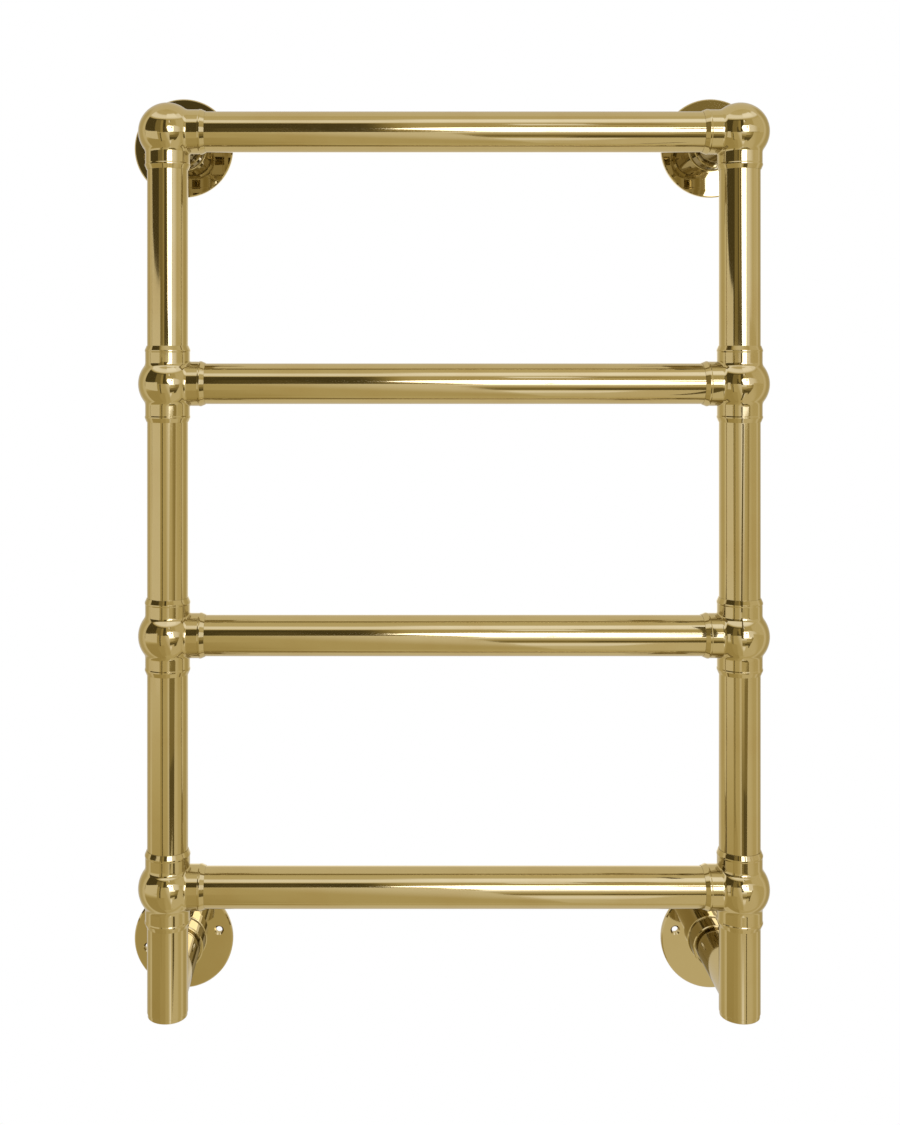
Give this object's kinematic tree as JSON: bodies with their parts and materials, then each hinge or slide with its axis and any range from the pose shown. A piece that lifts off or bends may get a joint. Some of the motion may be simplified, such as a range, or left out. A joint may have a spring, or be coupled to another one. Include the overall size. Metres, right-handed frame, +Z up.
{
  "type": "electric heated towel rail",
  "caption": "Wall-mounted electric towel rail in brass tube: horizontal bars between uprights with ball fittings, on round wall flanges.",
  "frame": {"origin": "on the wall's face, in the middle of the four inboard wall-screw holes", "axes": "+X along the bars to the viewer's right, +Y from the rail into the wall, +Z up"},
  "size_m": [0.534, 0.123, 0.759],
  "materials": {
    "brass_tube": "polished",
    "brass_fitting": "polished",
    "stainless_steel": "satin",
    "resistance_wire": "dull",
    "sealing_rubber": "matte",
    "ceramic": "matte"
  },
  "bodies": {
    "rail_frame": {"top_bar": "brass_tube", "second_bar": "brass_tube", "third_bar": "brass_tube", "bottom_bar": "brass_tube", "top_left_corner_ball": "brass_fitting", "second_left_tee_ball": "brass_fitting", "third_left_tee_ball": "brass_fitting", "bottom_left_tee_ball": "brass_fitting", "top_left_upright": "brass_tube", "middle_left_upright": "brass_tube", "lower_left_upright": "brass_tube", "left_leg": "brass_tube", "top_left_stay": "brass_tube", "bottom_left_stay": "brass_tube", "left_leg_end_bush": "brass_fitting", "top_right_corner_ball": "brass_fitting", "second_right_tee_ball": "brass_fitting", "third_right_tee_ball": "brass_fitting", "bottom_right_tee_ball": "brass_fitting", "top_right_upright": "brass_tube", "middle_right_upright": "brass_tube", "lower_right_upright": "brass_tube", "right_leg": "brass_tube", "top_right_stay": "brass_tube", "bottom_right_stay": "brass_tube", "right_leg_end_bush": "brass_fitting", "blanking_plug": "brass_fitting", "plug_sealing_washer": "sealing_rubber", "element_head": "brass_fitting", "element_sealing_washer": "sealing_rubber", "cable_gland": "sealing_rubber", "element_sheath": "stainless_steel", "earth_terminal": "brass_fitting", "element_end_seal": "sealing_rubber", "lower_ceramic_disc": "ceramic", "upper_ceramic_disc": "ceramic", "ceramic_core": "ceramic", "thermal_cutout": "stainless_steel", "live_terminal_pin": "stainless_steel", "neutral_conductor": "stainless_steel", "heating_coil": "resistance_wire"},
    "top_left_flange": {"top_left_wall_flange": "brass_fitting", "top_left_grub_screw": "stainless_steel"},
    "top_right_flange": {"top_right_wall_flange": "brass_fitting", "top_right_grub_screw": "stainless_steel"},
    "bottom_left_flange": {"bottom_left_wall_flange": "brass_fitting", "bottom_left_grub_screw": "stainless_steel"},
    "bottom_right_flange": {"bottom_right_wall_flange": "brass_fitting", "bottom_right_grub_screw": "stainless_steel"}
  },
  "joints": [
    {"name": "top_left_flange_turn", "type": "hinge", "parent": "rail_frame", "child": "top_left_flange", "pos_m": [-0.225, 0, 0.33026], "axis": [0, 1, 0], "continuous": true},
    {"name": "top_right_flange_turn", "type": "hinge", "parent": "rail_frame", "child": "top_right_flange", "pos_m": [0.225, 0, 0.33026], "axis": [0, 1, 0], "continuous": true},
    {"name": "bottom_left_flange_turn", "type": "hinge", "parent": "rail_frame", "child": "bottom_left_flange", "pos_m": [-0.225, 0, -0.34474], "axis": [0, 1, 0], "continuous": true},
    {"name": "bottom_right_flange_turn", "type": "hinge", "parent": "rail_frame", "child": "bottom_right_flange", "pos_m": [0.225, 0, -0.34474], "axis": [0, 1, 0], "continuous": true}
  ]
}
